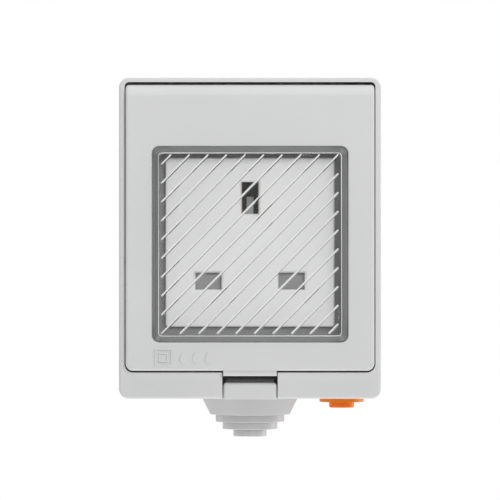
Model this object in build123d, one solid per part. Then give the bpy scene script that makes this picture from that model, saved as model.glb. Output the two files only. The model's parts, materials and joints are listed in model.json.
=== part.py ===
from build123d import *
import math
import os

# Weatherproof single wall socket with a hinged cover. Sizes are in millimetres.
# X runs to the right, Y into the wall and Z up. The origin is the middle of the wall face.
# A size called a depth is a distance from the wall, so a place at depth d has y = -d.

# Front frame
face_width = 69.7
face_height = 85.4
face_corner = 2.7
face_depth = 54.0
edge_round = 0.7
rim_side = 1.51
rim_top = 1.2
recess_corner = 1.2
strip_height = 7.0
strip_wall = 1.5
recess_depth = 10.0
deck_thickness = 2.2
collar_wall = 1.4
collar_height = 4.0

# Rear box and its seal
box_inset = 0.8
box_corner = 2.4
box_depth = 34.0
box_wall = 2.0
box_back = 2.2
gasket_thickness = 1.0
gasket_margin = 0.3

# Wall holes and the screws that join the two halves
wall_hole_x = 18.0
wall_hole_inset = 4.4
wall_hole_radius = 2.3
wall_boss_wall = 1.9
wall_boss_height = 1.5
post_radius = 2.7
frame_screw_radius = 1.5
frame_screw_length = 22.0
frame_head_radius = 2.5
frame_head_height = 1.8
frame_head_gap = 0.3
screw_clearance = 0.1
screw_tip_gap = 0.4
drive_slot_width = 0.7
drive_slot_depth = 0.7

# Lid and hinge
lid_gap_side = 0.31
lid_gap_top = 0.7
lid_gap_bottom = 0.5
lid_proud = 2.2
lid_thickness = 2.2
lid_roll = 3.2
lid_skirt = 1.2
lid_corner = 2.0
lid_edge = 0.8
lip_round = 0.35
pin_radius = 1.0
pin_clearance = 0.05
pin_end_gap = 0.33
lug_thickness = 4.4
lug_head = 1.9
lug_gap = 0.3
lug_post_front = 0.6
lug_post_back = 1.3
lug_bar = 2.2
lug_bar_drop = 3.6
skin_gap = 0.4

# Clear window of the lid
window_margin = 3.25
window_drop = 0.57
window_corner = 1.75
window_slope = 1.65
window_rise = 2.4
window_rim = 0.8
window_top = 1.8
window_edge = 0.35
window_gap = 0.2
flange_width = 1.2
flange_thickness = 1.4
rib_width = 0.65
rib_height = 0.35
rib_draft = 35.0
rib_pitch = 4.914
rib_count = 19
rib_margin_side = 0.75
rib_margin_top = 0.45
rib_margin_bottom = 0.45
seal_width = 2.6
seal_lap = 1.6
seal_gap = 0.3

# Latch under the lid
tab_width = 14.2
tab_drop = 1.4
tab_step = 0.3
tab_round = 0.6
tab_back = 8.2
barb_thickness = 0.9
barb_drop = 1.2
barb_slope = 0.6
latch_gap = 0.27
latch_top_drop = 1.9
latch_overhang = 0.2
latch_block_depth = 5.5
latch_round = 1.4
latch_corner = 0.8
hook_thickness = 1.4
hook_width = 13.0
hook_slope = 0.8
hook_root = 2.0
hook_gap = 0.1
catch_gap = 0.3
latch_travel = 1.5
tower_width = 6.4
tower_wall = 1.2
tower_top_gap = 1.2
tower_front_gap = 0.4
tower_web = 1.5
notch_depth = 11.0
notch_core = 10.0
shelf_thickness = 1.2
shelf_gap = 0.5
rail_width = 1.1
rail_depth = 2.0
rail_height = 2.5
latch_spring_radius = 1.25
latch_wire = 0.22
latch_spring_turns = 3
wire_sides = 6

# Cable gland and push button in the bottom wall
entry_depth = 17.5
gland_lip = 1.4
gland_lip_height = 2.0
gland_neck = 10.35
gland_hole_gap = 0.15
gland_cone_top = 14.0
gland_cone_end = 10.9
gland_cone_height = 6.3
gland_ring_radii = (9.4, 7.5, 4.56)
gland_ring_height = 2.0
gland_wall = 1.7
gland_bore = 3.3
gland_round = 0.35
button_inset = 9.7
bezel_radius = 6.06
bezel_height = 2.87
bezel_round = 0.6
bezel_neck = 4.5
bezel_neck_height = 5.0
bezel_neck_gap = 0.15
nut_width = 11.0
nut_height = 1.8
cap_radius = 3.43
cap_gap = 0.3
cap_proud = 1.6
cap_round = 0.9
cap_head = 3.4
cap_stem = 1.9
cap_stem_gap = 0.3
button_travel = 0.8
plunger_radius = 1.1
plunger_length = 2.8
plunger_gap = 0.3
switch_size = 4.5
switch_height = 4.0
switch_foot = 2.6

# Socket plate and module
plate_size = 45.2
plate_centre_z = -1.1
plate_corner = 0.8
plate_thickness = 2.0
plate_edge = 0.4
pad_thickness = 0.8
pad_gap = 0.3
pin_spacing = 22.23
pin_row_drop = 10.36
earth_rise = 11.9
line_slot = (7.0, 4.5)
earth_slot = (4.6, 8.5)
slot_bevel = 0.5
module_opening = 41.0
module_overlap = 3.0
module_flange = 2.0
boss_radius = 2.1
boss_inset = 0.3
module_screw_radius = 1.0
module_head_radius = 2.0
module_head_height = 1.6
module_screw_reach = 2.2
earth_pin_length = 22.7
line_pin_length = 17.7
chamber_extra = 1.1
chamber_wall = 1.5
block_wall = 2.0
contact_gap = 4.4
contact_strip = 0.8
contact_width = 7.0
earth_contact_width = 8.8
tail_width = 3.6
leaf_gap = 0.15
contact_setback = 1.5

# Safety shutter
shutter_gap = 0.3
shutter_lap = 0.3
shutter_stem = 7.0
ramp_width = 1.9
ramp_height = 4.7
shutter_spring_radius = 0.95
shutter_wire = 0.2
shutter_spring_turns = 3

# Control board and its components
board_rear = 9.0
board_thickness = 1.6
board_gap = 0.3
board_top_gap = 8.9
board_low_gap = 6.9
board_hole_inset = 5.0
board_hole_drop = 5.0
board_hole_rise = 14.0
standoff_radius = 2.6
board_screw_radius = 1.1
board_screw_length = 6.0
board_head_radius = 2.1
board_head_height = 1.5
relay_size = (15.4, 19.0, 15.0)
relay_place = (-13.0, 9.0)
radio_size = (14.0, 16.0, 0.8)
radio_gap = 0.6
shield_size = (11.0, 10.0, 2.4)
transformer_inset = 11.5
transformer_z = 9.5
core_size = (13.0, 8.0, 12.0)
coil_size = (9.0, 13.0, 9.0)
coil_corner = 3.0
filter_cap_radius = 4.0
filter_cap_height = 14.0
filter_cap_x = 9.0
filter_cap_drop = 6.0
film_cap_size = (13.0, 5.6, 10.0)
film_cap_x = -8.5
film_cap_drop = 4.0
fuse_length = 10.5
fuse_radius = 2.4
fuse_cap_radius = 2.6
fuse_cap_length = 2.5
fuse_inset = 9.5
fuse_z = -6.0
fuse_seat = 0.2
terminal_ways = 3
terminal_pitch = 7.5
terminal_height = 9.5
terminal_depth = 11.0
terminal_edge = 1.0
wire_hole = 4.8
wire_hole_depth = 7.0
wire_hole_offset = 4.4
clamp_gap = 0.15
clamp_wall = 0.8
clamp_length = 4.4
terminal_screw_radius = 1.2
terminal_head_radius = 1.9
terminal_head_height = 1.4
terminal_screw_reach = 0.6
small_corner = 0.6

# Worked-out values shared by several pieces
frame_back = box_depth + gasket_thickness
deck_depth = face_depth - recess_depth
deck_back = deck_depth - deck_thickness
face_bottom = -face_height / 2
recess_half = face_width / 2 - rim_side
recess_top = face_height / 2 - rim_top
recess_low = face_bottom + strip_height
box_width = face_width - 2 * box_inset
box_height = face_height - 2 * box_inset
box_low = -box_height / 2
inner_width = box_width - 2 * box_wall
inner_height = box_height - 2 * box_wall
inner_low = -inner_height / 2
inner_corner = box_corner - box_wall / 2
wall_hole_z = inner_height / 2 - wall_hole_inset
wall_holes = [(side * wall_hole_x, level * wall_hole_z) for side in (-1, 1) for level in (-1, 1)]

lid_half = recess_half - lid_gap_side
lid_low = recess_low + lid_gap_bottom
lid_front = face_depth + lid_proud
lid_inner = lid_front - lid_thickness
hinge_depth = lid_front - lid_roll
hinge_z = recess_top - lid_gap_top - lid_roll
skirt_back = hinge_depth - lid_roll
skirt_half = lid_half - lid_skirt
pin_half = skirt_half - pin_end_gap
lug_outer = pin_half
lug_inner = lug_outer - lug_thickness
barrel_half = lug_inner - lug_gap
bar_top = hinge_z - lug_bar_drop
bar_low = bar_top - lug_bar

head_room = frame_head_radius + frame_head_gap
post_x = recess_half - head_room
posts = [(side * post_x, z) for side in (-1, 1) for z in (bar_low - head_room, recess_low + head_room)]
frame_tip = deck_depth - frame_screw_length

window_size = plate_size + 2 * window_margin
window_z = plate_centre_z - window_drop
window_front = lid_front + window_rise
window_face = window_size - 2 * window_slope
window_cavity = window_face - 2 * window_rim
flange_back = lid_inner - flange_thickness
seal_inner = window_size - 2 * seal_lap
seal_outer = seal_inner + 2 * seal_width
collar_mid = (seal_inner + seal_outer) / 2
collar_outer = collar_mid + collar_wall
collar_inner = collar_mid - collar_wall
collar_depth = deck_depth + collar_height
seal_back = collar_depth + seal_gap

tab_low = lid_low - tab_drop
tab_rear = lid_front - tab_back
barb_low = tab_low - barb_drop
notch_half = tab_width / 2 + latch_gap
notch_floor = face_depth - notch_depth
latch_top = tab_low - latch_top_drop
latch_low = face_bottom - latch_overhang
latch_back = face_depth - latch_block_depth
hook_back = tab_rear + barb_thickness + catch_gap
hook_front = hook_back + hook_thickness
hook_top = tab_low - catch_gap
hook_foot = latch_top - hook_root
shelf_top = face_bottom + shelf_thickness
shelf_front = latch_back - shelf_gap
web_low = shelf_top + latch_travel + catch_gap
web_top = web_low + tower_web
tower_front = tab_rear - tower_front_gap
tower_back = notch_floor + latch_gap
tower_top = recess_low + tower_top_gap
spring_seat_z = tower_top - tower_wall
tower_mid = (tower_front + tower_back) / 2
rail_mid = latch_back + latch_block_depth / 2
rail_top = web_low + catch_gap

plate_back = deck_depth + pad_thickness
plate_front = plate_back + plate_thickness
pad_size = collar_inner - 2 * pad_gap
line_z = plate_centre_z - pin_row_drop
line_x = pin_spacing / 2
earth_z = plate_centre_z + earth_rise
body_front = deck_back
body_flange_back = body_front - module_flange
boss_half = module_opening / 2 - boss_inset - boss_radius
bosses = [(side * boss_half, plate_centre_z + level * boss_half) for side in (-1, 1) for level in (-1, 1)]
module_tip = body_front + module_screw_reach
earth_end = plate_front - earth_pin_length - chamber_extra
line_end = plate_front - line_pin_length - chamber_extra
chamber_high = contact_gap + 2 * contact_strip
line_chamber = contact_width + 2 * leaf_gap
earth_chamber = earth_contact_width + 2 * leaf_gap
shutter_front = plate_back - shutter_gap
shutter_back = body_front + shutter_gap
shutter_low = line_z - line_slot[1] / 2 - shutter_lap
opening_low = plate_centre_z - module_opening / 2

board_front = board_rear + board_thickness
board_half_width = post_x - post_radius - board_gap
board_top_z = inner_height / 2 - board_top_gap
board_low_z = inner_low + board_low_gap
board_hole_x = board_half_width - board_hole_inset
board_hole_levels = (board_top_z - board_hole_drop, board_low_z + board_hole_rise)
board_holes = [(side * board_hole_x, z) for side in (-1, 1) for z in board_hole_levels]
board_tip = board_front - board_screw_length
button_x = face_width / 2 - button_inset
cap_low = box_low - bezel_height - cap_proud
cap_head_top = cap_low + cap_head
stem_top = box_low + bezel_neck_height + button_travel + plunger_gap
switch_low = stem_top + button_travel + plunger_gap
terminal_width = terminal_ways * terminal_pitch
terminal_low = board_low_z + terminal_edge
terminal_top_z = terminal_low + terminal_height
terminal_front = board_front + terminal_depth
terminal_xs = [(way - (terminal_ways - 1) / 2) * terminal_pitch for way in range(terminal_ways)]
radio_place = (0, terminal_top_z + radio_gap + radio_size[1] / 2)
transformer_place = (board_half_width - transformer_inset, transformer_z)
filter_cap_place = (filter_cap_x, board_top_z - filter_cap_drop)
film_cap_place = (film_cap_x, board_top_z - film_cap_drop)
fuse_place = (fuse_inset - board_half_width, fuse_z)
clamp_size = wire_hole - 2 * clamp_gap
wire_depth = board_front + wire_hole_offset
clamp_z = terminal_low + wire_hole_depth - clamp_length / 2 - clamp_gap


# Shared shapes

def place(left, right, low, high):
    return Pos((left + right) / 2, (low + high) / 2) * Rectangle(right - left, high - low)


def square(size, corner, z=0.0):
    return Pos(0, z) * RectangleRounded(size, size, corner)


def slab(outline, back, front):
    return extrude(Plane.XZ.offset(back) * outline, front - back)


def taper(base, back, face, front):
    return loft([Plane.XZ.offset(back) * base, Plane.XZ.offset(front) * face], ruled=True)


def side_slab(profile, left, right):
    return extrude(Plane.YZ.offset(left) * profile, right - left)


def brick(left, right, back, front, low, high):
    return slab(place(left, right, low, high), back, front)


def rod(x, z, radius, back, front):
    return slab(Pos(x, z) * Circle(radius), back, front)


def upright(x, depth, radius, low, high):
    return extrude(Plane.XY.offset(low) * Pos(x, -depth) * Circle(radius), high - low)


def across(depth, z, radius, left, right):
    return side_slab(Pos(-depth, z) * Circle(radius), left, right)


def turned(profile, x, depth):
    return Pos(x, -depth, 0) * revolve(Plane.XZ * profile, Axis.Z)


def screw(x, z, radius, head_radius, tip, seat, top):
    shank = rod(x, z, radius, *sorted((tip, seat)))
    head = rod(x, z, head_radius, *sorted((seat, top)))
    floor = top + math.copysign(drive_slot_depth, seat - top)
    cross = Rectangle(head_radius, drive_slot_width) + Rectangle(drive_slot_width, head_radius)
    return shank + head - slab(Pos(x, z) * cross, *sorted((floor, top)))


def group(solids):
    return Compound(children=list(solids))


def coil(depth, radius, wire, turns, low, high):
    height = high - low - 2 * wire
    path = Helix(height / turns, height, radius, center=(0, -depth, low + wire))
    start = Plane(origin=path @ 0, z_dir=path % 0)
    return sweep(start * RegularPolygon(wire, wire_sides), path, is_frenet=True)


# Housing

def make_rear_box():
    inner = RectangleRounded(inner_width, inner_height, inner_corner)
    box = slab(RectangleRounded(box_width, box_height, box_corner), 0, box_depth)
    box -= slab(inner, box_back, box_depth)
    for x, z in posts:
        box += rod(x, z, post_radius, box_back, frame_back) & slab(inner, box_back, frame_back)
    for x, z in board_holes:
        box += rod(x, z, standoff_radius, box_back, board_rear)
    for x, z in wall_holes:
        box += rod(x, z, wall_hole_radius + wall_boss_wall, box_back, box_back + wall_boss_height)
        box -= rod(x, z, wall_hole_radius, 0, box_back + wall_boss_height)
    for x, z in posts:
        box -= rod(x, z, frame_screw_radius + screw_clearance, frame_tip - screw_tip_gap, frame_back)
    for x, z in board_holes:
        box -= rod(x, z, board_screw_radius + screw_clearance, board_tip - screw_tip_gap, board_rear)
    box -= upright(0, entry_depth, gland_neck + gland_hole_gap, box_low, inner_low)
    box -= upright(button_x, entry_depth, bezel_neck + bezel_neck_gap, box_low, inner_low)
    return box


def make_box_gasket():
    outer = RectangleRounded(box_width - 2 * gasket_margin, box_height - 2 * gasket_margin, box_corner)
    inner = RectangleRounded(inner_width + 2 * gasket_margin, inner_height + 2 * gasket_margin, inner_corner)
    return slab(outer - inner, box_depth, frame_back)


def make_lug(side):
    axle = Pos(-hinge_depth, hinge_z)
    front = -hinge_depth - lug_post_front
    post = place(front, -hinge_depth + lug_post_back, bar_low, hinge_z)
    bar = place(front, -deck_depth, bar_low, bar_top)
    profile = axle * Circle(lug_head) + post + bar - axle * Circle(pin_radius + pin_clearance)
    return side_slab(profile, *sorted((side * lug_inner, side * lug_outer)))


def make_front_frame():
    frame = slab(RectangleRounded(face_width, face_height, face_corner), frame_back, face_depth)
    frame = fillet(frame.faces().sort_by(Axis.Y)[0].edges(), edge_round)
    recess = place(-recess_half, recess_half, recess_low, recess_top)
    recess = fillet(recess.vertices().group_by(Axis.Y)[-1], recess_corner)
    recess = fillet(recess.vertices().group_by(Axis.Y)[0], lid_corner + lid_gap_side)
    frame -= slab(recess, deck_depth, face_depth)
    frame -= slab(RectangleRounded(inner_width, inner_height, inner_corner), frame_back, deck_back)
    for side in (-1, 1):
        ends = sorted((side * notch_core, side * inner_width / 2))
        frame -= brick(*ends, deck_back, face_depth - strip_wall, inner_low, recess_low - strip_wall)
    collar = square(collar_outer, window_corner, window_z) - square(collar_inner, window_corner, window_z)
    frame += slab(collar, deck_depth, collar_depth)
    frame -= slab(square(module_opening, small_corner, plate_centre_z), deck_back, deck_depth)
    frame -= brick(-notch_half, notch_half, notch_floor, face_depth, face_bottom, tower_top + latch_gap)
    frame += brick(-notch_half, notch_half, notch_floor, shelf_front, face_bottom, shelf_top)
    for side in (-1, 1):
        ends = sorted((side * notch_half, side * (tab_width / 2 + rail_width + latch_gap)))
        slot_half = rail_depth / 2 + latch_gap
        frame -= brick(*ends, rail_mid - slot_half, rail_mid + slot_half, face_bottom, rail_top + catch_gap)
    for x, z in posts:
        frame += rod(x, z, post_radius, frame_back, deck_back)
        frame -= rod(x, z, frame_screw_radius + screw_clearance, frame_back, deck_depth)
    return frame + make_lug(-1) + make_lug(1)


def make_frame_screws():
    top = deck_depth + frame_head_height
    return group(
        screw(x, z, frame_screw_radius, frame_head_radius, frame_tip, deck_depth, top) for x, z in posts
    )


# Lid

def make_lid():
    axle = Pos(-hinge_depth, hinge_z)
    profile = place(-lid_front, -skirt_back, lid_low, hinge_z) + axle * Circle(lid_roll)
    lid = side_slab(profile, -lid_half, lid_half)
    lid = fillet(lid.edges().filter_by(Axis.Y).group_by(Axis.Z)[0], lid_corner)
    lid = fillet(lid.faces().sort_by(Axis.Y)[0].edges().sort_by(Axis.Z)[:-1], lid_edge)
    hollow = place(-lid_inner, -skirt_back, lid_low + lid_skirt, hinge_z) - axle * Circle(lid_roll)
    lid -= side_slab(hollow, -skirt_half, skirt_half)
    behind = place(-hinge_depth, -skirt_back, hinge_z - lid_roll, hinge_z + lid_roll)
    below = place(-lid_inner, -hinge_depth, hinge_z - lid_roll, hinge_z)
    lug_room = axle * Circle(lug_head + skin_gap) + behind + below
    for side in (-1, 1):
        lid -= side_slab(lug_room, *sorted((side * barrel_half, side * skirt_half)))
    lid -= across(hinge_depth, hinge_z, pin_radius + pin_clearance, -barrel_half, barrel_half)
    opening = square(window_size + 2 * window_gap, window_corner + window_gap, window_z)
    lid -= slab(opening, lid_inner, lid_front)
    lid = fillet(lid.faces().sort_by(Axis.Y)[0].inner_wires()[0].edges(), lip_round)
    return lid + make_tab()


def make_tab():
    half = tab_width / 2
    tab = brick(-half, half, tab_rear, lid_front - tab_step, tab_low, lid_low)
    tab = fillet(tab.edges().filter_by(Axis.X).group_by(Axis.Y)[0].sort_by(Axis.Z)[0], tab_round)
    tab += brick(-half, half, tab_rear, lid_front, lid_low, lid_low + lid_skirt)
    barb = make_face(Polyline(
        (-tab_rear, tab_low), (-tab_rear, barb_low + barb_slope), (-tab_rear - barb_slope, barb_low),
        (-tab_rear - barb_thickness, barb_low), (-tab_rear - barb_thickness, tab_low), close=True))
    return tab + side_slab(barb, -hook_width / 2, hook_width / 2)


def make_window():
    base = square(window_size, window_corner, window_z)
    face = square(window_face, window_corner - window_slope / 2, window_z)
    window = slab(base, lid_inner, lid_front)
    window += taper(base, lid_front, face, window_front)
    window = fillet(window.faces().sort_by(Axis.Y)[0].edges(), window_edge)
    window += slab(square(window_size + 2 * flange_width, window_corner, window_z), flange_back, lid_inner)
    cavity = square(window_cavity, window_corner - window_slope / 2, window_z)
    window -= slab(cavity, flange_back, window_front - window_top)
    for outline in rib_outlines():
        window += extrude(Plane.XZ.offset(window_front) * outline, rib_height, taper=rib_draft)
    return window


def rib_outlines():
    half_width = window_face / 2 - rib_margin_side
    low = window_z - window_face / 2 + rib_margin_bottom
    high = window_z + window_face / 2 - rib_margin_top
    mid_z = (low + high) / 2
    slope = (high - low) / (2 * half_width)
    for number in range(rib_count):
        shift = (number - (rib_count - 1) / 2) * rib_pitch
        left = max(-half_width, shift - half_width)
        right = min(half_width, shift + half_width)
        start = (left, mid_z + slope * (left - shift))
        end = (right, mid_z + slope * (right - shift))
        length = math.dist(start, end)
        middle = Pos((start[0] + end[0]) / 2, (start[1] + end[1]) / 2)
        yield middle * Rot(0, 0, math.degrees(math.atan(slope))) * SlotOverall(length, rib_width)


def make_lid_seal():
    ring = square(seal_outer, window_corner, window_z) - square(seal_inner, window_corner, window_z)
    return slab(ring, seal_back, flange_back)


def make_hinge_pin():
    return across(hinge_depth, hinge_z, pin_radius, -pin_half, pin_half)


# Latch

def make_latch():
    half = tab_width / 2
    latch = brick(-half, half, latch_back, face_depth, latch_low, latch_top)
    latch = fillet(latch.edges().filter_by(Axis.X).group_by(Axis.Y)[0].sort_by(Axis.Z)[-1], latch_round)
    latch = fillet(latch.edges().filter_by(Axis.Y).group_by(Axis.Z)[-1], latch_corner)
    pocket = hook_width / 2 + hook_gap
    latch -= brick(-pocket, pocket, hook_back - hook_gap, hook_front + hook_gap, hook_foot, latch_top)
    side = tower_width / 2
    latch += brick(-side, side, tower_front, latch_back, web_low, web_top)
    latch += brick(-side, side, tower_back, tower_front, web_low, tower_top)
    hole = latch_spring_radius + latch_wire + latch_gap
    latch -= upright(0, tower_mid, hole, web_low, spring_seat_z)
    for sign in (-1, 1):
        ends = sorted((sign * half, sign * (half + rail_width)))
        rail = (rail_mid - rail_depth / 2, rail_mid + rail_depth / 2)
        latch += brick(*ends, *rail, rail_top - rail_height, rail_top)
    return latch


def make_latch_hook():
    profile = make_face(Polyline(
        (-hook_back, hook_foot), (-hook_back, hook_top), (hook_slope - hook_front, hook_top),
        (-hook_front, hook_top - hook_slope), (-hook_front, hook_foot), close=True))
    return side_slab(profile, -hook_width / 2, hook_width / 2)


def make_latch_spring():
    turns = latch_spring_turns
    return coil(tower_mid, latch_spring_radius, latch_wire, turns, shelf_top, spring_seat_z)


# Gland and button

def make_cable_gland():
    inner = gland_neck - gland_wall
    lip_top = inner_low + gland_lip_height
    z = box_low - gland_cone_height
    outside = [(inner, lip_top), (gland_neck + gland_lip, lip_top), (gland_neck + gland_lip, inner_low)]
    outside += [(gland_neck, inner_low), (gland_neck, box_low)]
    outside += [(gland_cone_top, box_low), (gland_cone_end, z)]
    inside = [(inner, z + gland_wall)]
    rims = [(gland_cone_end, z)]
    for radius in gland_ring_radii:
        hollow = max(gland_bore, radius - gland_wall)
        inside += [(hollow, z + gland_wall)]
        outside += [(radius, z), (radius, z - gland_ring_height)]
        rims += [(radius, z - gland_ring_height)]
        z -= gland_ring_height
        inside += [(hollow, z + gland_wall)]
    inside[-1] = (gland_bore, z)
    profile = make_face(Polyline(*outside, *reversed(inside), close=True))
    near = gland_round / 2
    corners = [v for v in profile.vertices() if any(math.dist((v.X, v.Y), rim) < near for rim in rims)]
    return turned(fillet(corners, gland_round), 0, entry_depth)


def make_button_bezel():
    low = box_low - bezel_height
    bore = cap_radius + cap_gap
    stem_bore = cap_stem + cap_stem_gap
    shoulder = cap_head_top + button_travel + plunger_gap
    top = box_low + bezel_neck_height
    profile = make_face(Polyline(
        (bore, low), (bezel_radius, low), (bezel_radius, box_low), (bezel_neck, box_low), (bezel_neck, top),
        (stem_bore, top), (stem_bore, shoulder), (bore, shoulder), close=True))
    corner = profile.vertices().sort_by(Axis.Y)[:2].sort_by(Axis.X)[-1]
    return turned(fillet(corner, bezel_round), button_x, entry_depth)


def make_button_nut():
    outline = RegularPolygon(nut_width / 2, 6, major_radius=False) - Circle(bezel_neck + bezel_neck_gap)
    turned_outline = Rot(0, 0, 30) * outline
    return extrude(Plane.XY.offset(inner_low) * Pos(button_x, -entry_depth) * turned_outline, nut_height)


def make_button_cap():
    profile = make_face(Polyline(
        (0, cap_low), (cap_radius, cap_low), (cap_radius, cap_head_top), (cap_stem, cap_head_top),
        (cap_stem, stem_top), (0, stem_top), close=True))
    corner = profile.vertices().sort_by(Axis.Y)[:2].sort_by(Axis.X)[-1]
    return turned(fillet(corner, cap_round), button_x, entry_depth)


def make_tact_plunger():
    return upright(button_x, entry_depth, plunger_radius, stem_top, stem_top + plunger_length)


def make_tact_switch():
    left = button_x - switch_size / 2
    right = button_x + switch_size / 2
    front = entry_depth + switch_size / 2
    body = brick(left, right, front - switch_size, front, switch_low, switch_low + switch_height)
    body += brick(left, right, board_front, front, board_low_z, board_low_z + switch_foot)
    room = stem_top + plunger_length + button_travel + plunger_gap
    return body - upright(button_x, entry_depth, plunger_radius + plunger_gap, switch_low, room)


# Socket module

def slot_outlines():
    yield Pos(-line_x, line_z) * Rectangle(*line_slot)
    yield Pos(line_x, line_z) * Rectangle(*line_slot)
    yield Pos(0, earth_z) * Rectangle(*earth_slot)


def make_socket_plate():
    plate = slab(square(plate_size, plate_corner, plate_centre_z), plate_back, plate_front)
    plate = fillet(plate.faces().sort_by(Axis.Y)[0].edges(), plate_edge)
    for outline in slot_outlines():
        plate -= slab(outline, plate_back, plate_front)
    rims = plate.faces().sort_by(Axis.Y)[0].inner_wires()
    plate = chamfer([edge for rim in rims for edge in rim.edges()], slot_bevel)
    for x, z in bosses:
        plate += rod(x, z, boss_radius, body_front, plate_back)
        plate -= rod(x, z, module_screw_radius + screw_clearance, body_front, module_tip + screw_tip_gap)
    return plate


def make_socket_gasket():
    opening = square(module_opening, small_corner, plate_centre_z)
    return slab(square(pad_size, window_corner, window_z) - opening, deck_depth, plate_back)


def make_socket_body():
    flange = square(module_opening + 2 * module_overlap, small_corner, plate_centre_z)
    body = slab(flange, body_flange_back, body_front)
    wide = line_x + line_chamber / 2 + block_wall
    low = line_z - chamber_high / 2 - block_wall
    body += brick(-wide, wide, line_end - chamber_wall, body_flange_back, low, plate_centre_z)
    narrow = chamber_high / 2 + block_wall
    high = earth_z + earth_chamber / 2 + block_wall
    body += brick(-narrow, narrow, earth_end - chamber_wall, body_flange_back, plate_centre_z, high)
    slit = contact_strip + 2 * leaf_gap
    leaf_mid = (contact_gap + contact_strip) / 2
    for x in (-line_x, line_x):
        body -= slab(Pos(x, line_z) * Rectangle(line_chamber, chamber_high), line_end, body_front)
        for side in (-1, 1):
            leaf = Pos(x, line_z + side * leaf_mid) * Rectangle(line_chamber, slit)
            body -= slab(leaf, line_end - chamber_wall, line_end)
    body -= slab(Pos(0, earth_z) * Rectangle(chamber_high, earth_chamber), earth_end, body_front)
    for side in (-1, 1):
        leaf = Pos(side * leaf_mid, earth_z) * Rectangle(slit, earth_chamber)
        body -= slab(leaf, earth_end - chamber_wall, earth_end)
    for x, z in bosses:
        body -= rod(x, z, module_screw_radius + screw_clearance, body_flange_back, body_front)
    return body


def make_contact(width, end):
    inner = contact_gap / 2
    outer = inner + contact_strip
    mouth = body_front - contact_setback
    seat = end - chamber_wall
    base = seat - contact_strip
    contact = brick(-width / 2, width / 2, base, seat, -outer, outer)
    for low, high in ((inner, outer), (-outer, -inner)):
        contact += brick(-width / 2, width / 2, seat, mouth, low, high)
    thick = contact_strip / 2
    return contact + brick(-tail_width / 2, tail_width / 2, board_front, base, -thick, thick)


def make_line_contact(x):
    return Pos(x, 0, line_z) * make_contact(contact_width, line_end)


def make_earth_contact():
    return Pos(0, 0, earth_z) * Rot(0, 90, 0) * make_contact(earth_contact_width, earth_end)


def make_shutter():
    bar_half = line_x + line_slot[0] / 2 + shutter_lap
    bar = place(-bar_half, bar_half, shutter_low, line_z + line_slot[1] / 2 + shutter_lap)
    earth_low = earth_z - earth_slot[1] / 2
    stem = place(-shutter_stem / 2, shutter_stem / 2, line_z, earth_low - shutter_lap)
    shutter = slab(bar + stem, shutter_back, shutter_front)
    ramp = make_face(Polyline(
        (-shutter_front, earth_low - shutter_lap), (-shutter_back, earth_low - shutter_lap),
        (-shutter_back, earth_low + ramp_height), close=True))
    return shutter + side_slab(ramp, -ramp_width / 2, ramp_width / 2)


def make_shutter_spring():
    depth = (shutter_front + shutter_back) / 2
    turns = shutter_spring_turns
    return coil(depth, shutter_spring_radius, shutter_wire, turns, opening_low, shutter_low)


def make_module_screws():
    top = body_flange_back - module_head_height
    return group(
        screw(x, z, module_screw_radius, module_head_radius, module_tip, body_flange_back, top)
        for x, z in bosses
    )


# Control board

def make_control_board():
    half = board_half_width
    board = brick(-half, half, board_rear, board_front, board_low_z, board_top_z)
    for x, z in board_holes:
        board -= rod(x, z, board_screw_radius + screw_clearance, board_rear, board_front)
    return board


def make_board_screws():
    top = board_front + board_head_height
    return group(
        screw(x, z, board_screw_radius, board_head_radius, board_tip, board_front, top)
        for x, z in board_holes
    )


def on_board(size, spot, corner, lift=0.0):
    width, height, depth = size
    seat = board_front + lift
    return slab(Pos(*spot) * RectangleRounded(width, height, corner), seat, seat + depth)


def make_radio_module():
    shield = on_board(shield_size, radio_place, small_corner, radio_size[2])
    return on_board(radio_size, radio_place, small_corner) + shield


def make_transformer():
    winding = on_board(coil_size, transformer_place, coil_corner)
    return on_board(core_size, transformer_place, small_corner) + winding


def make_filter_capacitor():
    can = rod(*filter_cap_place, filter_cap_radius, board_front, board_front + filter_cap_height)
    return fillet(can.edges().sort_by(Axis.Y)[0], small_corner)


def make_fuse():
    x, z = fuse_place
    depth = board_front + fuse_seat + fuse_cap_radius
    half = fuse_length / 2
    fuse = across(depth, z, fuse_radius, x - half, x + half)
    fuse += across(depth, z, fuse_cap_radius, x - half, x - half + fuse_cap_length)
    return fuse + across(depth, z, fuse_cap_radius, x + half - fuse_cap_length, x + half)


def make_terminal_block():
    half = terminal_width / 2
    block = brick(-half, half, board_front, terminal_front, terminal_low, terminal_top_z)
    reach = wire_hole / 2
    for x in terminal_xs:
        hole = (wire_depth - reach, wire_depth + reach)
        block -= brick(x - reach, x + reach, *hole, terminal_low, terminal_low + wire_hole_depth)
        block -= rod(x, clamp_z, terminal_head_radius + screw_clearance, wire_depth, terminal_front)
    return block


def make_terminal_clamps():
    outer = clamp_size / 2
    inner = outer - clamp_wall
    low = clamp_z - clamp_length / 2
    clamps = []
    for x in terminal_xs:
        cage = brick(x - outer, x + outer, wire_depth - outer, wire_depth + outer, low, low + clamp_length)
        cage -= brick(x - inner, x + inner, wire_depth - inner, wire_depth + inner, low, low + clamp_length)
        hole = terminal_screw_radius + screw_clearance
        clamps.append(cage - rod(x, clamp_z, hole, wire_depth, wire_depth + outer))
    return group(clamps)


def make_terminal_screws():
    seat = wire_depth + clamp_size / 2
    tip = seat - clamp_wall - terminal_screw_reach
    top = seat + terminal_head_height
    return group(
        screw(x, clamp_z, terminal_screw_radius, terminal_head_radius, tip, seat, top) for x in terminal_xs
    )


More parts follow.
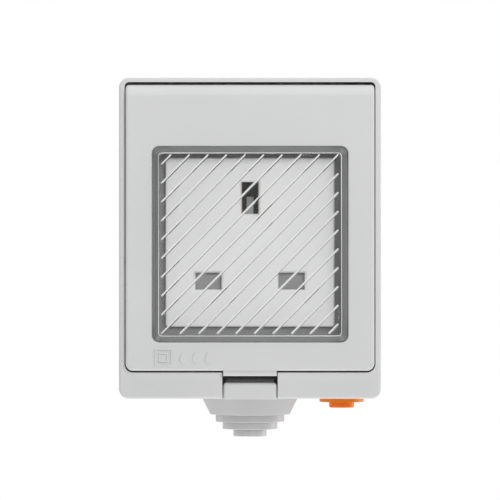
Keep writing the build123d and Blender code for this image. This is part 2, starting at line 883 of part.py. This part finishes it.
pieces = {
    "rear_box": make_rear_box(),
    "box_gasket": make_box_gasket(),
    "front_frame": make_front_frame(),
    "frame_screws": make_frame_screws(),
    "lid": make_lid(),
    "window": make_window(),
    "lid_seal": make_lid_seal(),
    "hinge_pin": make_hinge_pin(),
    "latch": make_latch(),
    "latch_hook": make_latch_hook(),
    "latch_spring": make_latch_spring(),
    "cable_gland": make_cable_gland(),
    "button_bezel": make_button_bezel(),
    "button_nut": make_button_nut(),
    "button_cap": make_button_cap(),
    "tact_plunger": make_tact_plunger(),
    "tact_switch": make_tact_switch(),
    "socket_plate": make_socket_plate(),
    "socket_gasket": make_socket_gasket(),
    "socket_body": make_socket_body(),
    "live_contact": make_line_contact(line_x),
    "neutral_contact": make_line_contact(-line_x),
    "earth_contact": make_earth_contact(),
    "shutter": make_shutter(),
    "shutter_spring": make_shutter_spring(),
    "module_screws": make_module_screws(),
    "control_board": make_control_board(),
    "board_screws": make_board_screws(),
    "relay": on_board(relay_size, relay_place, small_corner),
    "radio_module": make_radio_module(),
    "transformer": make_transformer(),
    "filter_capacitor": make_filter_capacitor(),
    "film_capacitor": on_board(film_cap_size, film_cap_place, small_corner),
    "fuse": make_fuse(),
    "terminal_block": make_terminal_block(),
    "terminal_clamps": make_terminal_clamps(),
    "terminal_screws": make_terminal_screws(),
}

os.makedirs("parts", exist_ok=True)
for node, shape in pieces.items():
    export_step(shape, f"parts/{node}.step")
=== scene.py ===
import bpy
import bmesh
import json
import math
from mathutils import Matrix, Vector


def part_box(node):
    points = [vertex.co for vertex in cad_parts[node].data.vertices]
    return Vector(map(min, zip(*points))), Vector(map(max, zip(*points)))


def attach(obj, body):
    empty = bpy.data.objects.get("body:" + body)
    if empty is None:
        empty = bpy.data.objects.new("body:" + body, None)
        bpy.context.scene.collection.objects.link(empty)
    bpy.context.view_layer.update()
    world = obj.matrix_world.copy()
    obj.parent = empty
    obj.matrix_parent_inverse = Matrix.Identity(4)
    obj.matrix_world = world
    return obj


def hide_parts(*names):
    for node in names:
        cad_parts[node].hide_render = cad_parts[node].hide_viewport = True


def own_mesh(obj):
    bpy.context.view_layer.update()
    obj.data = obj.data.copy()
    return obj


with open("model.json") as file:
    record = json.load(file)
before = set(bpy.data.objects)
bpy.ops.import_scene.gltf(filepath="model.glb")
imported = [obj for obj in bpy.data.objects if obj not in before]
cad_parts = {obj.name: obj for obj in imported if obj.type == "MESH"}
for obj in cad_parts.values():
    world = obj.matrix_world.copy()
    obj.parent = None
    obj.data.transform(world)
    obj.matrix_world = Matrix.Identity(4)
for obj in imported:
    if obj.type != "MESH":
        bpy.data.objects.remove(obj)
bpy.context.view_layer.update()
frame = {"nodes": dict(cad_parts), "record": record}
mm = 0.001
print("frame loaded,", len(frame["nodes"]), "nodes")


# finishes, all on object coordinates

noiseSpan = (0.3, 0.7)  # most of a noise lies between these
grainDepth = {"plastic": 0.05, "rubber": 0.08, "metal": 0.03, "board": 0.03}  # mm
glossPatch = {"plastic": 6, "rubber": 4, "window": 3}  # gloss changes in smaller patches than colour
rubberBloom = {"weight": 0.08, "rough": 0.6}  # faint dusty sheen


def startFinish(name, rough, metal=0.0):
    mat = bpy.data.materials.new(name)
    mat.use_nodes = True
    shader = mat.node_tree.nodes["Principled BSDF"]
    shader.inputs["Roughness"].default_value = rough
    shader.inputs["Metallic"].default_value = metal
    return mat, shader


def noiseOf(mat, scale, detail=2.0, stretch=(1, 1, 1)):
    tree = mat.node_tree
    coord = tree.nodes.new("ShaderNodeTexCoord")
    mapping = tree.nodes.new("ShaderNodeMapping")
    noise = tree.nodes.new("ShaderNodeTexNoise")
    mapping.inputs["Scale"].default_value = stretch
    noise.inputs["Scale"].default_value = scale
    noise.inputs["Detail"].default_value = detail
    tree.links.new(coord.outputs["Object"], mapping.inputs["Vector"])
    tree.links.new(mapping.outputs["Vector"], noise.inputs["Vector"])
    return noise.outputs["Fac"]


def colourDrift(mat, shader, factor, dark, light):
    tree = mat.node_tree
    ramp = tree.nodes.new("ShaderNodeValToRGB")
    for stop, place, colour in zip(ramp.color_ramp.elements, noiseSpan, (dark, light)):
        stop.position = place
        stop.color = (*colour, 1)
    tree.links.new(factor, ramp.inputs["Fac"])
    tree.links.new(ramp.outputs["Color"], shader.inputs["Base Color"])


def roughDrift(mat, shader, factor, smooth, dull):
    tree = mat.node_tree
    spread = tree.nodes.new("ShaderNodeMapRange")
    for end, value in zip(("From Min", "From Max", "To Min", "To Max"), (*noiseSpan, smooth, dull)):
        spread.inputs[end].default_value = value
    tree.links.new(factor, spread.inputs["Value"])
    tree.links.new(spread.outputs["Result"], shader.inputs["Roughness"])


def surfaceGrain(mat, shader, factor, strength, height):
    tree = mat.node_tree
    bump = tree.nodes.new("ShaderNodeBump")
    bump.inputs["Strength"].default_value = strength
    bump.inputs["Distance"].default_value = height
    tree.links.new(factor, bump.inputs["Height"])
    tree.links.new(bump.outputs["Normal"], shader.inputs["Normal"])


def mouldedPlastic(name, look):
    mat, shader = startFinish(name, look["dull"])
    shader.inputs["Specular IOR Level"].default_value = look.get("gloss", 0.5)
    colourDrift(mat, shader, noiseOf(mat, look["cloud"]), look["dark"], look["light"])
    roughDrift(mat, shader, noiseOf(mat, look["cloud"] * glossPatch["plastic"]), look["smooth"], look["dull"])
    surfaceGrain(mat, shader, noiseOf(mat, look["grain"]), look["relief"], grainDepth["plastic"] * mm)
    return mat


def softRubber(name, look):
    mat, shader = startFinish(name, look["dull"])
    shader.inputs["Sheen Weight"].default_value = rubberBloom["weight"]
    shader.inputs["Sheen Roughness"].default_value = rubberBloom["rough"]
    colourDrift(mat, shader, noiseOf(mat, look["cloud"], detail=4.0), look["dark"], look["light"])
    roughDrift(mat, shader, noiseOf(mat, look["cloud"] * glossPatch["rubber"]), look["smooth"], look["dull"])
    speckle = noiseOf(mat, look["grain"], detail=3.0)
    surfaceGrain(mat, shader, speckle, look["relief"], grainDepth["rubber"] * mm)
    return mat


def turnedMetal(name, look):
    mat, shader = startFinish(name, look["dull"], metal=1.0)
    brushed = noiseOf(mat, look["grain"], detail=3.0, stretch=look["stretch"])
    colourDrift(mat, shader, noiseOf(mat, look["cloud"], detail=4.0), look["dark"], look["light"])
    roughDrift(mat, shader, brushed, look["smooth"], look["dull"])
    surfaceGrain(mat, shader, brushed, look["relief"], grainDepth["metal"] * mm)
    return mat


def clearWindow(name, look):
    mat, shader = startFinish(name, look["smooth"])
    tree = mat.node_tree
    shader.inputs["IOR"].default_value = look["bend"]
    shader.inputs["Transmission Weight"].default_value = look["clear"]
    colourDrift(mat, shader, noiseOf(mat, look["cloud"]), look["dark"], look["light"])
    roughDrift(mat, shader, noiseOf(mat, look["cloud"] * glossPatch["window"]), look["smooth"], look["dull"])
    through = tree.nodes.new("ShaderNodeBsdfTransparent")
    through.inputs["Color"].default_value = (*look["shade"], 1)  # what light keeps on its way in
    rays = tree.nodes.new("ShaderNodeLightPath")
    lit = tree.nodes.new("ShaderNodeMath")  # light for what lies behind passes straight through
    lit.operation = "MAXIMUM"
    mix = tree.nodes.new("ShaderNodeMixShader")
    tree.links.new(rays.outputs["Is Shadow Ray"], lit.inputs[0])
    tree.links.new(rays.outputs["Is Diffuse Ray"], lit.inputs[1])
    tree.links.new(lit.outputs["Value"], mix.inputs["Fac"])
    tree.links.new(shader.outputs["BSDF"], mix.inputs[1])
    tree.links.new(through.outputs["BSDF"], mix.inputs[2])
    tree.links.new(mix.outputs["Shader"], tree.nodes["Material Output"].inputs["Surface"])
    return mat


def circuitBoard(name, look):
    mat, shader = startFinish(name, look["dull"])
    tree = mat.node_tree
    coord = tree.nodes.new("ShaderNodeTexCoord")
    tracks = tree.nodes.new("ShaderNodeTexBrick")
    turn = tree.nodes.new("ShaderNodeMapping")
    turn.inputs["Rotation"].default_value = (math.radians(90), 0, 0)
    tracks.inputs["Scale"].default_value = look["tracks"]
    tracks.inputs["Mortar Size"].default_value = look["line"]
    tracks.inputs["Color1"].default_value = (*look["dark"], 1)
    tracks.inputs["Color2"].default_value = (*look["dark"], 1)
    tracks.inputs["Mortar"].default_value = (*look["light"], 1)
    tree.links.new(coord.outputs["Object"], turn.inputs["Vector"])
    tree.links.new(turn.outputs["Vector"], tracks.inputs["Vector"])
    tree.links.new(tracks.outputs["Color"], shader.inputs["Base Color"])
    surfaceGrain(mat, shader, tracks.outputs["Fac"], look["relief"], grainDepth["board"] * mm)
    return mat


shellGrey = {"dark": (0.655, 0.658, 0.66), "light": (0.68, 0.682, 0.684), "cloud": 30, "smooth": 0.52,
             "dull": 0.62, "gloss": 0.4, "grain": 4200, "relief": 0.05}
plateWhite = {"dark": (0.84, 0.84, 0.836), "light": (0.865, 0.865, 0.861), "cloud": 40, "smooth": 0.3,
              "dull": 0.4, "grain": 5200, "relief": 0.03}
shutterGrey = {"dark": (0.25, 0.25, 0.25), "light": (0.275, 0.275, 0.275), "cloud": 60, "smooth": 0.45,
               "dull": 0.55, "grain": 5200, "relief": 0.04}
buttonOrange = {"dark": (0.88, 0.215, 0.008), "light": (0.93, 0.24, 0.01), "cloud": 90, "smooth": 0.38,
                "dull": 0.48, "gloss": 0.3, "grain": 6000, "relief": 0.05}
moduleBlack = {"dark": (0.018, 0.018, 0.019), "light": (0.025, 0.025, 0.026), "cloud": 50, "smooth": 0.5,
               "dull": 0.62, "gloss": 0.35, "grain": 4000, "relief": 0.08}
# the catch hook's dark grey stands in for the shade of the gap under the lid's tab: painted shade
hookShadeDark = {"dark": (0.115, 0.115, 0.116), "light": (0.135, 0.135, 0.136), "cloud": 50, "smooth": 0.5,
            "dull": 0.62, "gloss": 0.35, "grain": 4000, "relief": 0.08}
partDark = {"dark": (0.02, 0.022, 0.026), "light": (0.04, 0.042, 0.046), "cloud": 70, "smooth": 0.35,
            "dull": 0.5, "grain": 5000, "relief": 0.06}
partYellow = {"dark": (0.72, 0.47, 0.07), "light": (0.8, 0.55, 0.1), "cloud": 70, "smooth": 0.3,
              "dull": 0.42, "grain": 3000, "relief": 0.05}
fuseWhite = {"dark": (0.76, 0.75, 0.71), "light": (0.82, 0.81, 0.78), "cloud": 120, "smooth": 0.2,
             "dull": 0.32, "grain": 4000, "relief": 0.03}
sealGrey = {"dark": (0.235, 0.235, 0.235), "light": (0.27, 0.27, 0.27), "cloud": 90, "smooth": 0.6,
            "dull": 0.75, "grain": 3500, "relief": 0.12}
glandGrey = {"dark": (0.56, 0.56, 0.56), "light": (0.59, 0.59, 0.59), "cloud": 70, "smooth": 0.4,
             "dull": 0.5, "grain": 3500, "relief": 0.08}
# the window's bend is its index, set low so that the white surround doesn't wash out the plate
clearPlastic = {"dark": (0.965, 0.97, 0.972), "light": (0.985, 0.988, 0.99), "cloud": 60, "smooth": 0.02,
                "dull": 0.05, "bend": 1.34, "clear": 1.0, "shade": (0.96, 0.96, 0.96)}
# lower rib flanks: a darker tint that stands for the shade on that side of each rib, painted shade
ribShadeFlank = {"dark": (0.31, 0.312, 0.314), "light": (0.34, 0.342, 0.344), "cloud": 60, "smooth": 0.05,
            "dull": 0.1, "bend": 1.34, "clear": 1.0, "shade": (0.8, 0.8, 0.8)}
# near-white frost on the dome's front edges, rib tops and upper rib flanks, standing for their reflections:
# painted highlight
edgeHighlightWhite = {"dark": (0.93, 0.935, 0.94), "light": (0.96, 0.965, 0.97), "cloud": 60, "smooth": 0.16,
             "dull": 0.24, "bend": 1.5, "clear": 0.14, "shade": (0.85, 0.85, 0.85)}
# dark grey on the dome's clear sloping sides, standing for the dark cavity seen through them: painted shade
sideShadeGrey = {"dark": (0.205, 0.207, 0.21), "light": (0.23, 0.232, 0.235), "cloud": 60, "smooth": 0.28,
             "dull": 0.38, "bend": 1.5, "clear": 0.45, "shade": (0.9, 0.9, 0.9)}
brightSteel = {"dark": (0.5, 0.51, 0.52), "light": (0.62, 0.63, 0.64), "cloud": 300, "smooth": 0.22,
               "dull": 0.38, "grain": 2500, "relief": 0.06, "stretch": (0.15, 1, 1)}
rolledBrass = {"dark": (0.34, 0.255, 0.125), "light": (0.43, 0.325, 0.165), "cloud": 200, "smooth": 0.24,
               "dull": 0.4, "grain": 2200, "relief": 0.06, "stretch": (1, 0.15, 1)}
boardGreen = {"dark": (0.012, 0.11, 0.04), "light": (0.03, 0.2, 0.08), "tracks": 180, "line": 0.03,
              "dull": 0.35, "relief": 0.15}

finishes = {
    "shell_grey": mouldedPlastic("shellGrey", shellGrey),
    "plate_white": mouldedPlastic("plateWhite", plateWhite),
    "shutter_grey": mouldedPlastic("shutterGrey", shutterGrey),
    "button_orange": mouldedPlastic("buttonOrange", buttonOrange),
    "module_black": mouldedPlastic("moduleBlack", moduleBlack),
    "component_dark": mouldedPlastic("partDark", partDark),
    "component_yellow": mouldedPlastic("partYellow", partYellow),
    "fuse_ceramic": mouldedPlastic("fuseWhite", fuseWhite),
    "seal_rubber": softRubber("sealGrey", sealGrey),
    "gland_rubber": softRubber("glandGrey", glandGrey),
    "window_clear": clearWindow("clearPlastic", clearPlastic),
    "steel": turnedMetal("brightSteel", brightSteel),
    "brass": turnedMetal("rolledBrass", rolledBrass),
    "board_green": circuitBoard("boardGreen", boardGreen),
}
slotOf = {row["node"]: row["material_slot"] for row in frame["record"]["subparts"]}
for node, obj in frame["nodes"].items():
    for holder in obj.material_slots:
        holder.material = finishes[slotOf[node]]
print("finishes made:", len(finishes))


# shared steps of the modelled pieces

weld = 0.002  # mm, corners this near become one
level = 0.6  # degrees, faces this close to level become one


def finishPiece(name, bm, slot, body, node=None, sharp=40):
    mesh = bpy.data.meshes.new(name)
    bm.to_mesh(mesh)
    bm.free()
    mesh.materials.append(finishes[slot])
    mesh.shade_smooth()
    mesh.set_sharp_from_angle(angle=math.radians(sharp))
    piece = bpy.data.objects.new(name, mesh)
    bpy.context.scene.collection.objects.link(piece)
    evened = piece.modifiers.new("evenNormals", "WEIGHTED_NORMAL")
    evened.keep_sharp = True
    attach(piece, body)
    if node:
        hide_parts(node)
    return piece


def roundEdges(bm, width, segments, angle):
    edges = [e for e in bm.edges
             if e.is_manifold and e.is_convex and e.calc_face_angle() > math.radians(angle)]
    bmesh.ops.bevel(bm, geom=edges, offset=width, segments=segments, profile=0.5, affect="EDGES",
                    clamp_overlap=True, material=-1)


def mergedCopy(node):
    bm = bmesh.new()
    bm.from_mesh(frame["nodes"][node].data)
    bmesh.ops.remove_doubles(bm, verts=bm.verts, dist=weld * mm)
    bmesh.ops.dissolve_limit(bm, angle_limit=math.radians(level), verts=bm.verts, edges=bm.edges,
                             use_dissolve_boundaries=False, delimit={"NORMAL"})
    return bm


def spunPiece(name, profile, look, rounding, body, node):
    x, depth = look["spot"]
    bm = bmesh.new()
    verts = [bm.verts.new(((x + r) * mm, -depth * mm, z * mm)) for r, z in profile]
    edges = [bm.edges.new((a, b)) for a, b in zip(verts, verts[1:] + verts[:1])]
    bmesh.ops.spin(bm, geom=verts + edges, cent=(x * mm, -depth * mm, 0), axis=(0, 0, 1), dvec=(0, 0, 0),
                   angle=math.tau, steps=look["turns"], use_merge=True, use_duplicate=False)
    bmesh.ops.remove_doubles(bm, verts=bm.verts, dist=weld * mm)
    bmesh.ops.recalc_face_normals(bm, faces=bm.faces)
    roundEdges(bm, rounding * mm, look["segments"], look["angle"])
    finishPiece(name, bm, slotOf[node], body, node)


# moulded shells, with the small edge rounds that a mould leaves

mouldEdges = {"segments": 2, "angle": 35}
moulded = {  # node, body, width of the edge round in mm
    "rearShell": ("rear_box", "housing", 0.3),
    "frontShell": ("front_frame", "housing", 0.18),
    "lidShell": ("lid", "lid", 0.15),
    "catchBlock": ("latch", "latch", 0.15),
    "facePlate": ("socket_plate", "housing", 0.1),
    "shutterSlide": ("shutter", "shutter", 0.12),
    "lidSealRing": ("lid_seal", "lid", 0.3),
    "boxSealRing": ("box_gasket", "housing", 0.2),
    "plateSealRing": ("socket_gasket", "housing", 0.12),
    "frontScrews": ("frame_screws", "housing", 0.2),
    "carrierBlock": ("socket_body", "housing", 0.2),
    "catchHook": ("latch_hook", "latch", 0.1),
}


def softenedNode(name, node, body, width):
    bm = mergedCopy(node)
    roundEdges(bm, width * mm, mouldEdges["segments"], mouldEdges["angle"])
    return finishPiece(name, bm, slotOf[node], body, node)


shells = {}
for name, (node, body, width) in moulded.items():
    shells[name] = softenedNode(name, node, body, width)
    print("softened", name)
shells["catchHook"].data.materials[0] = mouldedPlastic("hookShadeDark", hookShadeDark)  # greyer than the carrier, its dark grey standing for the shade in the catch gap as painted shade


# clear dome of the lid: its sloping sides a partly clear dark grey as painted shade, its edges, rib tops and
# upper rib flanks a white frost as painted highlight, its lower rib flanks darker as painted shade; flat and
# slope are limits of a normal's y

dome = {"ribLift": 0.03, "edgeDrop": 0.2, "flat": -0.97, "slope": -0.45, "sharp": 25}
domeParts = ("front", "ribShadeFlank", "edge", "side")
domeFinishes = [clearWindow("ribShadeFlank", ribShadeFlank), clearWindow("edgeHighlightWhite", edgeHighlightWhite),
                clearWindow("sideShadeGrey", sideShadeGrey)]


def makeDome(look):
    bm = mergedCopy("window")
    broad = max((f for f in bm.faces if f.normal.y < look["flat"]), key=lambda f: f.calc_area())
    front = broad.calc_center_median().y
    for f in bm.faces:
        behind = f.calc_center_median().y - front
        onRib = behind < -look["ribLift"] * mm
        if f.normal.y < look["flat"]:
            part = "edge" if onRib else "front"
        elif onRib and f.normal.x > f.normal.z:
            part = "ribShadeFlank"  # the lower one of each rib, tinted darker as painted shade
        elif f.normal.y < look["slope"]:
            # slope faces near the front take the painted highlight white, the rest the painted shade grey
            part = "edge" if behind < look["edgeDrop"] * mm else "side"
        else:
            part = "front"
        f.material_index = domeParts.index(part)
    piece = finishPiece("windowDome", bm, "window_clear", "lid", "window", look["sharp"])
    for finish in domeFinishes:
        piece.data.materials.append(finish)


makeDome(dome)
print("dome made")


# coil springs, copied from their nodes, each listed with its joint and a travel a little more than the
# catch's and the shutter's

springs = {
    "catchCoil": {"node": "latch_spring", "joint": "latch_slide", "travel": 1.53},
    "shutterCoil": {"node": "shutter_spring", "joint": "shutter_slide", "travel": 5.23},
}


def makeSpring(name, look):
    piece = finishPiece(name, mergedCopy(look["node"]), "steel", "housing", look["node"])
    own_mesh(piece)


for name, look in springs.items():
    makeSpring(name, look)
print("springs wound:", len(springs))


# rubber gland, spun about the cable's line, with its spot as x and depth from the wall

gland = {"spot": (0.0, 17.5), "lipTop": -37.9, "wallTop": -39.9, "wallLow": -41.9, "lip": 11.75,
         "neck": 10.35, "coneTop": 14.0, "coneEnd": 10.9, "coneLow": -48.2, "rings": (9.4, 7.5, 4.56),
         "ringHeight": 2.0, "wall": 1.7, "bore": 3.3, "rounding": 0.25, "segments": 4, "angle": 30,
         "turns": 96}


def glandProfile(g):
    inner = g["neck"] - g["wall"]
    z = g["coneLow"]
    outside = [(inner, g["lipTop"]), (g["lip"], g["lipTop"]), (g["lip"], g["wallTop"]),
               (g["neck"], g["wallTop"]), (g["neck"], g["wallLow"]), (g["coneTop"], g["wallLow"]),
               (g["coneEnd"], z)]
    inside = [(inner, z + g["wall"])]
    for radius in g["rings"]:
        hollow = max(g["bore"], radius - g["wall"])
        inside.append((hollow, z + g["wall"]))
        outside += [(radius, z), (radius, z - g["ringHeight"])]
        z -= g["ringHeight"]
        inside.append((hollow, z + g["wall"]))
    inside[-1] = (g["bore"], z)
    return outside + inside[::-1]


spunPiece("cableGland", glandProfile(gland), gland, gland["rounding"], "housing", "cable_gland")
print("gland spun")


# push button: fixed collar and the cap that travels in it

button = {"spot": (25.15, 17.5), "wallLow": -41.9, "collarLow": -44.77, "collar": 6.06, "neck": 4.5,
          "neckTop": -36.9, "bore": 3.73, "stemBore": 2.2, "shoulder": -41.87, "cap": 3.43, "capLow": -46.37,
          "headTop": -42.97, "stem": 1.9, "stemTop": -35.8, "collarRound": 0.12, "capRound": 0.35,
          "segments": 4, "angle": 40, "turns": 72}
collarProfile = [(button["bore"], button["collarLow"]), (button["collar"], button["collarLow"]),
                 (button["collar"], button["wallLow"]), (button["neck"], button["wallLow"]),
                 (button["neck"], button["neckTop"]), (button["stemBore"], button["neckTop"]),
                 (button["stemBore"], button["shoulder"]), (button["bore"], button["shoulder"])]
capProfile = [(0, button["capLow"]), (button["cap"], button["capLow"]),
              (button["cap"], button["headTop"]), (button["stem"], button["headTop"]),
              (button["stem"], button["stemTop"]), (0, button["stemTop"])]
spunPiece("buttonCollar", collarProfile, button, button["collarRound"], "housing", "button_bezel")
spunPiece("buttonCap", capProfile, button, button["capRound"], "button", "button_cap")
print("button spun")


# plain raised marks on the lid's lower left corner

lidMarks = {"left": -25.4, "low": -34.0, "square": 4.8, "inner": 2.6, "line": 0.5, "height": 0.34, "drops": 3,
            "dropWide": 1.7, "dropTall": 2.9, "dropStep": 3.4, "dropStart": 6.6, "dropSides": 24,
            "pinch": 0.45, "rounding": 0.2, "segments": 3, "angle": 50}


def markFace(x, z, y):
    return Matrix.Translation((x * mm, y, z * mm)) @ Matrix.Rotation(math.radians(90), 4, "X")


def raisedFrame(bm, x, z, size, look, y):
    made = bmesh.ops.create_grid(bm, x_segments=1, y_segments=1, size=size / 2 * mm, matrix=markFace(x, z, y))
    face = made["verts"][0].link_faces[0]
    bmesh.ops.inset_region(bm, faces=[face], thickness=look["line"] * mm, use_boundary=True,
                           use_even_offset=True)
    bmesh.ops.delete(bm, geom=[face], context="FACES_ONLY")


def raisedDrop(bm, x, z, look, y):
    radius = look["dropWide"] / 2 * mm
    made = bmesh.ops.create_circle(bm, cap_ends=True, segments=look["dropSides"], radius=radius,
                                   matrix=markFace(x, z, y))
    for v in made["verts"]:
        over = max(0.0, (v.co.z - z * mm) / radius)  # the upper half is drawn out to the tip
        v.co.z += over ** 2 * (look["dropTall"] - look["dropWide"]) * mm
        v.co.x += (x * mm - v.co.x) * look["pinch"] * over


def makeMarks(look):
    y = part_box("lid")[0].y  # lid's front face
    bm = bmesh.new()
    middle = look["low"] + look["square"] / 2
    raisedFrame(bm, look["left"] + look["square"] / 2, middle, look["square"], look, y)
    raisedFrame(bm, look["left"] + look["square"] / 2, middle, look["inner"], look, y)
    for number in range(look["drops"]):
        x = look["left"] + look["dropStart"] + number * look["dropStep"] + look["dropWide"] / 2
        raisedDrop(bm, x, middle - (look["dropTall"] - look["dropWide"]) / 2, look, y)
    grown = bmesh.ops.extrude_face_region(bm, geom=bm.faces[:])
    moved = [v for v in grown["geom"] if isinstance(v, bmesh.types.BMVert)]
    bmesh.ops.translate(bm, verts=moved, vec=(0, -look["height"] * mm, 0))
    bmesh.ops.recalc_face_normals(bm, faces=bm.faces)
    roundEdges(bm, look["rounding"] * mm, look["segments"], look["angle"])
    finishPiece("lidMarks", bm, "shell_grey", "lid")


makeMarks(lidMarks)
print("marks raised")


# floor, light and camera, in mm and watts

studio = {"floorLow": -700, "floorHalf": 8000, "floorDark": (0.86, 0.86, 0.86),
          "floorLight": (0.88, 0.88, 0.88), "floorDull": 0.7, "floorCloud": 3.0, "around": 0.4, "lens": 298,
          "sensor": 36, "eye": (0, -1154, -3.14)}
lamps = {
    "keySoft": {"at": (380, -1330, 430), "size": (800, 500), "power": 9.0},
    "topStrip": {"at": (80, -220, 760), "size": (900, 130), "power": 2.0},
    "backSoft": {"at": (-250, 900, 1100), "size": (1200, 800), "power": 5.0},
    "rightStrip": {"at": (650, 300, 0), "size": (40, 700), "power": 2.0},
    "leftStrip": {"at": (-650, 300, 0), "size": (40, 700), "power": 0.7},
    "lowStrip": {"at": (0, -40, -280), "size": (500, 8), "power": 0.4},
}


def layFloor(look):
    bm = bmesh.new()
    bmesh.ops.create_grid(bm, x_segments=1, y_segments=1, size=look["floorHalf"] * mm,
                          matrix=Matrix.Translation((0, 0, look["floorLow"] * mm)))
    mesh = bpy.data.meshes.new("floor")
    bm.to_mesh(mesh)
    bm.free()
    mat, shader = startFinish("floorPaint", look["floorDull"])
    colourDrift(mat, shader, noiseOf(mat, look["floorCloud"]), look["floorDark"], look["floorLight"])
    mesh.materials.append(mat)
    floor = bpy.data.objects.new("floor", mesh)
    bpy.context.scene.collection.objects.link(floor)


def lightWorld(look):
    world = bpy.data.worlds.new("studio")
    world.use_nodes = True
    bpy.context.scene.world = world
    tree = world.node_tree
    soft = tree.nodes["Background"]
    soft.inputs["Color"].default_value = (1, 1, 1, 1)
    soft.inputs["Strength"].default_value = look["around"]
    white = tree.nodes.new("ShaderNodeBackground")
    white.inputs["Color"].default_value = (1, 1, 1, 1)
    white.inputs["Strength"].default_value = 1.0
    rays = tree.nodes.new("ShaderNodeLightPath")
    seen = rays.outputs["Is Camera Ray"]
    for other in ("Is Glossy Ray", "Is Transmission Ray"):
        either = tree.nodes.new("ShaderNodeMath")
        either.operation = "MAXIMUM"
        tree.links.new(seen, either.inputs[0])
        tree.links.new(rays.outputs[other], either.inputs[1])
        seen = either.outputs["Value"]
    mix = tree.nodes.new("ShaderNodeMixShader")
    tree.links.new(seen, mix.inputs["Fac"])
    tree.links.new(soft.outputs["Background"], mix.inputs[1])
    tree.links.new(white.outputs["Background"], mix.inputs[2])
    tree.links.new(mix.outputs["Shader"], tree.nodes["World Output"].inputs["Surface"])


def hangLamp(name, look):
    lamp = bpy.data.lights.new(name, "AREA")
    lamp.shape = "RECTANGLE"
    lamp.size, lamp.size_y = (side * mm for side in look["size"])
    lamp.energy = look["power"]
    holder = bpy.data.objects.new(name, lamp)
    holder.location = Vector(look["at"]) * mm
    holder.rotation_euler = (-holder.location).to_track_quat("-Z", "Y").to_euler()
    holder.visible_camera = False
    bpy.context.scene.collection.objects.link(holder)


def setCamera(look):
    camera = bpy.data.cameras.new("photoView")
    camera.lens = look["lens"]
    camera.sensor_width = look["sensor"]
    holder = bpy.data.objects.new("photoView", camera)
    holder.location = Vector(look["eye"]) * mm
    holder.rotation_euler = (math.radians(90), 0, 0)
    bpy.context.scene.collection.objects.link(holder)
    bpy.context.scene.camera = holder


layFloor(studio)
lightWorld(studio)
for name, look in lamps.items():
    hangLamp(name, look)
setCamera(studio)
bpy.context.scene.view_settings.view_transform = "Standard"
print("studio set")
